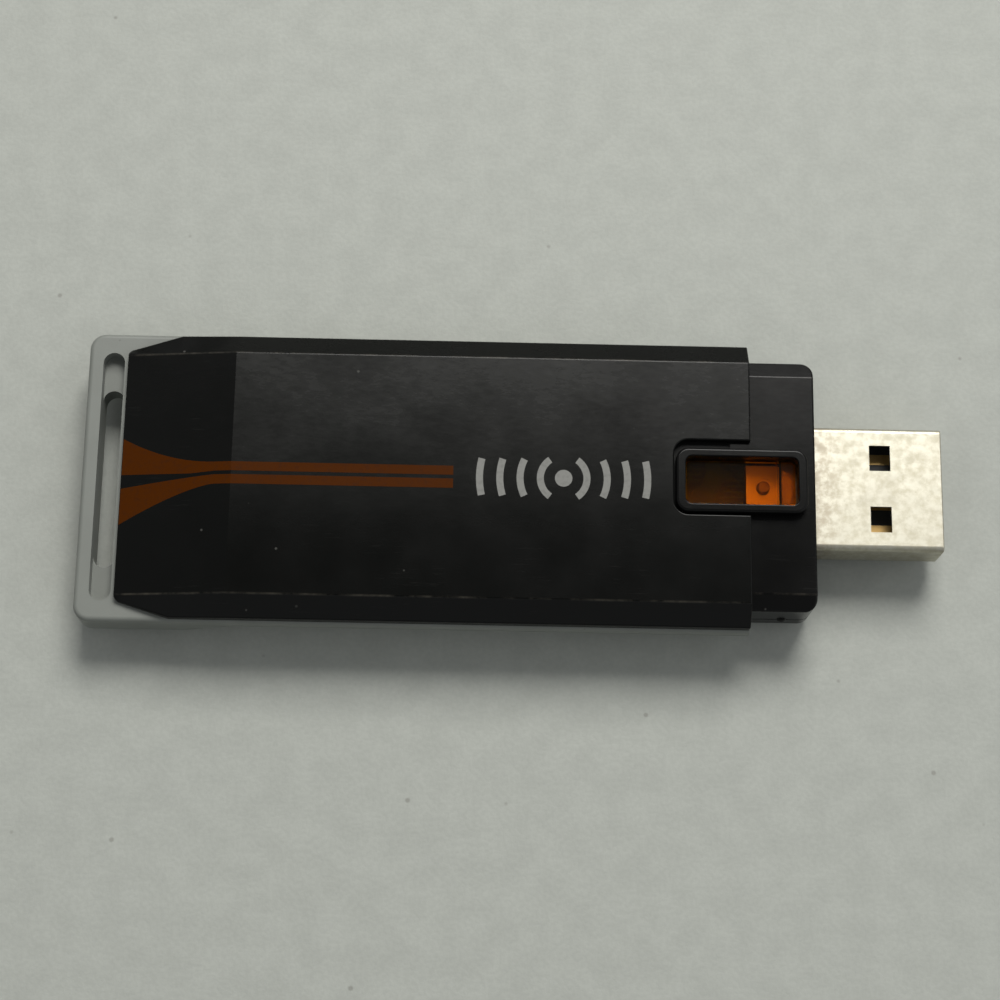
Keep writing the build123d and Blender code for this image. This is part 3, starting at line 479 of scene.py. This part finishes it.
class AdapterStage(PropertyGroup):
    """Floor, lights and camera."""

    floor_colour: colour("Floor", "Colour of the pale table top", (0.412, 0.428, 0.392))
    floor_size: length("Floor size", "Edge of the square floor", 1.6)
    key_power: number("Key power", "Power of the large far light in watts", 5.7)
    key_size: length("Key size", "Edge of the large far light", 0.38)
    key_place: place("Key place", "Where the large far light hangs", (0.10, 0.49, 0.61))
    fill_power: number("Fill power", "Power of the near fill in watts", 1.2)
    fill_size: length("Fill size", "Edge of the near fill", 0.9)
    fill_place: place("Fill place", "Where the near fill hangs", (0.70, -0.12, 0.55))
    sky_colour: colour("Sky", "Colour of the light from all round", (0.96, 0.98, 1.0))
    sky_strength: number("Sky strength", "Strength of the sky at middle heights", 0.42)
    sky_low: number("Sky at horizon", "Strength of the sky at the horizon", 0.02)
    sky_overhead: number("Sky overhead", "Share of the sky's strength that is left overhead", 0.2)
    lens: number("Lens", "Camera focal length in millimetres on a 36 mm sensor", 78.8)
    camera_place: place("Camera place", "Where the camera stands", (-0.0039, -0.0555, 0.2054))
    camera_aim: place("Camera aim", "Point the camera looks at", (-0.00107, -0.00018, 0.0))
    camera_roll: FloatProperty(name="Camera roll", description="Turn about the view direction",
                               default=math.radians(0.97), subtype="ANGLE")


class AdapterBody(PropertyGroup):
    """Colours of the shells, the plug and the button."""

    cover_colour: colour("Cover", "Black top cover", (0.0034, 0.0036, 0.0032))
    housing_colour: colour("Housing", "Black front housings", (0.0034, 0.0034, 0.0032))
    tray_colour: colour("Tray", "Light grey tray", (0.205, 0.216, 0.196))
    plug_colour: colour("Plug", "Plated plug shell", (0.56, 0.54, 0.455))
    amber_colour: colour("Amber", "Clear amber button", (1.0, 0.43, 0.001))
    bevel_width: length("Bevel width", "Width of the cover's sloped long edges", 0.0021)
    seat_bevel_width: length("Seat bevel width", "Width of the seat's sloped edges", 0.00182)
    dome_thickness: length("Dome thickness", "Sheet thickness of the switch's domed spring", 0.00008)
    dome_keep: number("Dome keep", "Share of the dome's height left when pressed", 0.6, 0.1, 1.0)
    cover_rough: number("Cover roughness", "Roughness of the black cover", 0.20, 0.0, 1.0)
    plug_rough: number("Plug roughness", "Roughness of the plated plug", 0.47, 0.0, 1.0)


class ADAPTER_OT_stage(Operator):
    """Makes the floor, the lights, the sky and the camera"""

    bl_idname = "adapter.stage"
    bl_label = "Stage"

    def execute(self, context):
        prefs = context.scene.adapter_stage
        scene = context.scene
        half = prefs.floor_size / 2
        mesh = bpy.data.meshes.new("floor")
        mesh.from_pydata([(-half, -half, 0), (half, -half, 0), (half, half, 0), (-half, half, 0)], [],
                         [(0, 1, 2, 3)])
        floor = bpy.data.objects.new("floor", mesh)
        scene.collection.objects.link(floor)
        mesh.materials.append(self.paper(prefs))
        self.lamp("key_light", prefs.key_place, prefs.key_power, prefs.key_size, (1.0, 0.985, 0.95))
        self.lamp("fill_light", prefs.fill_place, prefs.fill_power, prefs.fill_size, (0.95, 0.98, 1.0))
        world = bpy.data.worlds.new("soft_sky")
        scene.world = world
        world.use_nodes = True
        back = world.node_tree.nodes["Background"]
        back.inputs["Color"].default_value = rgba(prefs.sky_colour)
        world.node_tree.links.new(self.sky_light(world.node_tree, prefs), back.inputs["Strength"])
        self.camera(scene, prefs)
        scene.view_settings.view_transform = "Standard"
        return {"FINISHED"}

    def sky_light(self, tree, prefs):
        """Strength of the sky by height: dim at the horizon and overhead, full between them."""
        ray = tree.nodes.new("ShaderNodeTexCoord").outputs["Generated"]
        height = axes_of(tree, ray)["Z"]
        rise = span(tree, height, 0.10, 0.45, prefs.sky_low, prefs.sky_strength)
        return product(tree, rise, span(tree, height, 0.78, 0.92, 1.0, prefs.sky_overhead))

    def paper(self, prefs):
        """Smooth pale board with faint mottling and a few dark specks."""
        material, tree, shader = new_material("floor_paper", Roughness=0.6, Specular_IOR_Level=0.3)
        point = millimetres(tree)
        cloud = add(tree, "ShaderNodeTexNoise", {"Vector": point, "Scale": 0.35, "Detail": 6.0})
        dust = use_group(tree, group("dust"), Vector=point, Spacing=4.5, Amount=0.45)
        fleck = add(tree, "ShaderNodeTexNoise", {"Vector": point, "Scale": 2.2, "Detail": 4.0})
        tint = prefs.floor_colour
        base = mix_colour(tree, span(tree, cloud.outputs["Fac"], 0.3, 0.7), rgba(tint, 0.965),
                          rgba(tint, 1.035))
        base = mix_colour(tree, span(tree, fleck.outputs["Fac"], 0.35, 0.65, 0.0, 0.10), base,
                          rgba(tint, 0.55))
        base = mix_colour(tree, dust.outputs[0], base, DUST_ON_FLOOR)
        tree.links.new(base, shader.inputs["Base Color"])
        bump(tree, shader, fleck.outputs["Fac"], 0.03)
        return material

    def lamp(self, name, where, power, size, tint):
        """A square area light aimed at the middle of the object."""
        data = bpy.data.lights.new(name, "AREA")
        data.energy = power
        data.size = size
        data.color = tint
        lamp = bpy.data.objects.new(name, data)
        bpy.context.scene.collection.objects.link(lamp)
        lamp.location = where
        lamp.rotation_euler = (-Vector(where)).to_track_quat("-Z", "Y").to_euler()

    def camera(self, scene, prefs):
        """A camera looking from its place to its aim, turned by the roll."""
        data = bpy.data.cameras.new("camera")
        data.lens = prefs.lens
        data.clip_start = 0.01
        camera = bpy.data.objects.new("camera", data)
        scene.collection.objects.link(camera)
        ahead = (Vector(prefs.camera_aim) - Vector(prefs.camera_place)).normalized()
        right = ahead.cross(Vector((0.0, 1.0, 0.0))).normalized()
        up = right.cross(ahead)
        turn = Matrix.Rotation(-prefs.camera_roll, 3, ahead)
        right = turn @ right
        up = turn @ up
        camera.matrix_world = Matrix.Translation(prefs.camera_place) @ Matrix(
            (right, up, -ahead)).transposed().to_4x4()
        scene.camera = camera


class ADAPTER_OT_shells(Operator):
    """Gives the cover, the tray and the front housings their moulded finishes"""

    bl_idname = "adapter.shells"
    bl_label = "Shells"

    def execute(self, context):
        prefs = context.scene.adapter_body
        cover_crease = (COVER_HIGH[1] - prefs.bevel_width) / MM
        seat_crease = (SEAT_HALF_WIDTH - prefs.seat_bevel_width) / MM
        # The 0.42 and 0.26 set the rubbed haze with its painted sheen.
        dress("top_cover", black_plastic("cover_plastic", prefs.cover_colour, prefs.cover_rough, 0.004,
                                         0.42, cover_crease))
        housing = black_plastic("housing_plastic", prefs.housing_colour, prefs.cover_rough, 0.003,
                                0.26, seat_crease)
        dress("front_housing_upper", housing)
        dress("front_housing_lower", housing)
        dress("bottom_tray", grey_plastic("tray_plastic", prefs.tray_colour))
        dress("underside_label", label_film("label_film", (0.55, 0.56, 0.55)))
        return {"FINISHED"}


class AdapterPrint(PropertyGroup):
    """Sizes and colours of the printed stripes and sign on the cover."""

    stripe_colour: colour("Stripe ink", "Amber ink of the two stripes", (0.060, 0.0145, 0.0004))
    sign_colour: colour("Sign ink", "Grey ink of the signal sign", (0.235, 0.235, 0.220))
    film: length("Ink thickness", "How far the ink stands above the cover", 0.000012)
    stripe_end: length("Stripe end", "Where the stripes stop along the cover", -0.0056)
    flare_start: length("Flare start", "Where the stripes begin to widen", -0.0280)
    sign_centre: length("Sign centre", "Middle of the sign along the cover", 0.00475)
    sign_line: length("Sign line", "Height of the sign's middle across the cover", -0.0001)
    sign_half: length("Sign half height", "Half of the sign's size across the cover", 0.00178)
    dot_radius: length("Dot radius", "Radius of the sign's dot", 0.00082)
    arc_width: length("Arc width", "Width of each arc", 0.00066)
    arc_pitch: length("Arc pitch", "Distance between arcs", 0.00190)
    first_gap: number("First gap", "Gap between the dot and the first arc, in arc pitches", 0.72)
    arcs: IntProperty(name="Arcs", description="Arcs on each side of the dot", default=4, min=1)


def cover_height(x):
    """Height of the cover's top at x: flat, then falling in a straight slope behind the crease."""
    behind = np.maximum(COVER_LOW[0] + FACET_LENGTH - x, 0.0)
    return COVER_HIGH[2] - FACET_FALL / FACET_LENGTH * behind


def closed_sheet(name, top, low):
    """Closed thin shell between two grids of points, the top one and the one below it."""
    rows, columns = top.shape[:2]
    count = rows * columns
    index = np.arange(count).reshape(rows, columns)
    quads = np.stack([index[:-1, :-1], index[1:, :-1], index[1:, 1:], index[:-1, 1:]], axis=-1).reshape(-1, 4)
    loop = np.concatenate([index[0, :-1], index[:-1, -1], index[-1, :0:-1], index[:0:-1, 0]])
    after = np.roll(loop, -1)
    sides = np.stack([loop, after, after + count, loop + count], axis=-1)
    faces = np.concatenate([quads, quads[:, ::-1] + count, sides])
    points = np.concatenate([top.reshape(-1, 3), low.reshape(-1, 3)])
    mesh = bpy.data.meshes.new(name)
    mesh.from_pydata(points.tolist(), [], faces.tolist())
    mesh.validate()
    if mesh.polygons[0].normal.z < 0:
        mesh.flip_normals()
    return mesh


def ink_sheet(name, x, y, film):
    """Sheet over the cover: grid x, y stands film above its top, and the back is sunk as far below."""
    height = cover_height(x)
    return closed_sheet(name, np.stack([x, y, height + film], axis=-1),
                        np.stack([x, y, height - film], axis=-1))


def disc_grid(steps):
    """Square grid u, v of -1..1 drawn onto a unit disc: u sqrt(1 - v^2/2), v sqrt(1 - u^2/2)."""
    u, v = np.meshgrid(np.linspace(-1.0, 1.0, steps), np.linspace(-1.0, 1.0, steps), indexing="ij")
    return u * np.sqrt(1 - v ** 2 / 2), v * np.sqrt(1 - u ** 2 / 2)


class ADAPTER_OT_print(Operator):
    """Prints the two amber stripes and the grey signal sign on the cover"""

    bl_idname = "adapter.print"
    bl_label = "Printed stripes and sign"

    def execute(self, context):
        prefs = context.scene.adapter_print
        amber = self.ink("amber_ink", prefs.stripe_colour, 0.30)
        grey = self.ink("grey_ink", prefs.sign_colour, 0.45)
        for name, inner, outer in (("stripe_far", self.far_inner, self.far_outer),
                                   ("stripe_near", self.near_inner, self.near_outer)):
            self.stripe(name, inner, outer, prefs, amber)
        self.sign(prefs, grey)
        return {"FINISHED"}

    def ink(self, name, tint, rough):
        """Matt pad-printed ink, a little thin and patchy, over the cover's fine grain."""
        material, tree, shader = new_material(name, Specular_IOR_Level=0.06)
        point = millimetres(tree)
        grain = use_group(tree, group("grain"), Vector=point, Size=0.16, Roughness=rough, Spread=0.12)
        thin = add(tree, "ShaderNodeTexNoise", {"Vector": point, "Scale": 2.4, "Detail": 4.0})
        base = mix_colour(tree, span(tree, thin.outputs["Fac"], 0.45, 0.75, 0.0, 0.45), rgba(tint),
                          rgba([0.62 * v + 0.004 for v in tint]))
        tree.links.new(base, shader.inputs["Base Color"])
        tree.links.new(grain.outputs["Roughness"], shader.inputs["Roughness"])
        bump(tree, shader, grain.outputs["Height"], 0.004)
        return material

    def far_inner(self, t):
        """Nearly straight inner edge of the far stripe."""
        return 0.02 - 0.22 * np.minimum(1.0, 4.0 * t)

    def far_outer(self, t):
        """Outer edge of the far stripe, widening with the square of t."""
        return 0.90 + 2.45 * t ** 2.0

    def near_inner(self, t):
        """Inner edge of the near stripe, opening the gap between the two."""
        return -0.34 - 1.20 * t ** 1.2

    def near_outer(self, t):
        """Outer edge of the near stripe, widening a little earlier than the far one."""
        return -1.25 - 3.80 * t ** 1.4

    def stripe(self, name, inner, outer, prefs, material):
        """One stripe: x runs from its end to the nose and each cross line from inner to outer edge."""
        nose = COVER_LOW[0] + 0.00004
        crease = COVER_LOW[0] + FACET_LENGTH
        along = np.concatenate([np.linspace(nose, crease, 90)[:-1],
                                np.linspace(crease, prefs.stripe_end, 12)])
        t = np.clip((prefs.flare_start - along) / (prefs.flare_start - nose), 0.0, 1.0)
        share = np.linspace(0.0, 1.0, 9)[None, :]
        low = (inner(t) * MM)[:, None]
        high = (outer(t) * MM)[:, None]
        y = low + (high - low) * share
        x = np.repeat(along[:, None], share.size, axis=1)
        self.place(ink_sheet(name, x, y, prefs.film), name, material)

    def sign(self, prefs, material):
        """A dot with arcs opening to both sides, each arc cut to the sign's height."""
        across, along = disc_grid(13)
        self.place(ink_sheet("sign_dot", prefs.sign_centre + prefs.dot_radius * across,
                             prefs.sign_line + prefs.dot_radius * along, prefs.film), "sign_dot", material)
        for step in range(prefs.arcs):
            radius = prefs.dot_radius + (step + prefs.first_gap) * prefs.arc_pitch
            reach = math.asin(min(0.92, prefs.sign_half / radius))
            for side, word in ((-1, "left"), (1, "right")):
                angle = np.linspace(-reach, reach, 33)[:, None]
                across = np.linspace(-0.5, 0.5, 5)[None, :] * prefs.arc_width
                x = prefs.sign_centre + side * (radius + across) * np.cos(angle)
                y = prefs.sign_line + (radius + across) * np.sin(angle)
                name = f"sign_arc_{word}_{step + 1}"
                self.place(ink_sheet(name, x, y, prefs.film), name, material)

    def place(self, mesh, name, material):
        """Makes the piece, gives it its ink and lets it ride with the body."""
        piece = bpy.data.objects.new(name, mesh)
        bpy.context.scene.collection.objects.link(piece)
        mesh.materials.append(material)
        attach(piece, "body")


class ADAPTER_OT_plug(Operator):
    """Gives the plug shell, its insulator and its contacts their finishes"""

    bl_idname = "adapter.plug"
    bl_label = "Plug"

    def execute(self, context):
        prefs = context.scene.adapter_body
        dress("usb_shell", plated_steel("plug_plating", prefs.plug_colour, prefs.plug_rough))
        dress("usb_insulator", simple_finish("insulator_plastic", (0.012, 0.012, 0.012), 0.5))
        dress("usb_contacts", simple_finish("gold_plating", (0.50, 0.33, 0.13), 0.42, 1.0, 0.1))
        return {"FINISHED"}


class ADAPTER_OT_button(Operator):
    """Gives the amber button and the push switch below it their finishes"""

    bl_idname = "adapter.button"
    bl_label = "Button and switch"

    def execute(self, context):
        prefs = context.scene.adapter_body
        dress("button_lens", amber_resin("amber_resin", prefs.amber_colour, 0.08))
        steel = simple_finish("switch_steel", (0.97, 0.95, 0.90), 0.55, 0.1, 0.05)
        dress("switch_cover", steel)
        self.dome(prefs, steel)
        dress("switch_plunger", simple_finish("plunger_plastic", (0.25, 0.2, 0.16), 0.5))
        dress("switch_base", simple_finish("switch_plastic", (0.04, 0.04, 0.04), 0.5))
        dress("status_led", simple_finish("lamp_body", (0.85, 0.8, 0.6), 0.3))
        return {"FINISHED"}

    def dome(self, prefs, material):
        """Domed spring under the plunger: a spherical cap z = rise - R + sqrt(R^2 - r^2)."""
        low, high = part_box("switch_dome")
        middle = (low + high) / 2
        reach = (high[0] - low[0]) / 2
        rise = high[2] - low[2]
        radius = (reach ** 2 + rise ** 2) / (2 * rise)
        across, along = disc_grid(17)
        shells = []
        for ball in (radius, radius - prefs.dome_thickness):
            rim = math.sqrt(ball ** 2 - (radius - rise) ** 2)
            x, y = rim * across, rim * along
            z = low[2] + rise - radius + np.sqrt(ball ** 2 - x ** 2 - y ** 2)
            shells.append(np.stack([middle[0] + x, middle[1] + y, z], axis=-1))
        mesh = closed_sheet("dome_spring", *shells)
        mesh.shade_smooth()
        mesh.materials.append(material)
        spring = bpy.data.objects.new("dome_spring", mesh)
        bpy.context.scene.collection.objects.link(spring)
        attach(spring, "body")
        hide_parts("switch_dome")
        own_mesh(spring)


class ADAPTER_OT_board(Operator):
    """Gives the circuit board and the parts on it their finishes"""

    bl_idname = "adapter.board"
    bl_label = "Board and its parts"

    def execute(self, context):
        finishes = {
            "chip_epoxy": ((0.02, 0.02, 0.021), 0.55, 0.0,
                           ["wifi_chip", "memory_chip", "voltage_regulator", "surge_protector",
                            "radio_amplifiers", "resistors"]),
            "tinned_steel": ((0.62, 0.62, 0.60), 0.3, 1.0, ["shield_frame", "shield_lid", "clock_crystal"]),
            "ferrite": ((0.05, 0.05, 0.055), 0.6, 0.0, ["power_coil", "data_line_choke"]),
            "ceramic": ((0.35, 0.22, 0.12), 0.4, 0.0, ["capacitors"]),
            "copper": ((0.75, 0.38, 0.18), 0.3, 1.0, ["antenna_far", "antenna_near"]),
        }
        for name, (tint, rough, metallic, nodes) in finishes.items():
            material = simple_finish(name, tint, rough, metallic)
            for node in nodes:
                dress(node, material)
        dress("circuit_board", solder_mask("board_mask", (0.024, 0.062, 0.022)))
        return {"FINISHED"}


class ADAPTER_PT_panel(Panel):
    """Lists the steps that finish the adapter"""

    bl_idname = "ADAPTER_PT_panel"
    bl_label = "Adapter"
    bl_space_type = "VIEW_3D"
    bl_region_type = "UI"
    bl_category = "Adapter"

    def draw(self, context):
        for step in STEPS:
            self.layout.operator(step.bl_idname)


SETTINGS = (AdapterStage, AdapterBody, AdapterPrint)
STEPS = (ADAPTER_OT_stage, ADAPTER_OT_shells, ADAPTER_OT_print, ADAPTER_OT_plug, ADAPTER_OT_button,
         ADAPTER_OT_board)
CLASSES = SETTINGS + STEPS + (ADAPTER_PT_panel,)


def register():
    """Registers the classes and hangs the settings on the scene."""
    for item in CLASSES:
        bpy.utils.register_class(item)
    bpy.types.Scene.adapter_stage = PointerProperty(type=AdapterStage)
    bpy.types.Scene.adapter_body = PointerProperty(type=AdapterBody)
    bpy.types.Scene.adapter_print = PointerProperty(type=AdapterPrint)


def unregister():
    """Undoes register."""
    del bpy.types.Scene.adapter_print
    del bpy.types.Scene.adapter_body
    del bpy.types.Scene.adapter_stage
    for item in reversed(CLASSES):
        bpy.utils.unregister_class(item)


def main():
    """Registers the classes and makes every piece."""
    register()
    for step in STEPS:
        space, name = step.bl_idname.split(".")
        getattr(getattr(bpy.ops, space), name)()


if __name__ == "__main__":
    main()
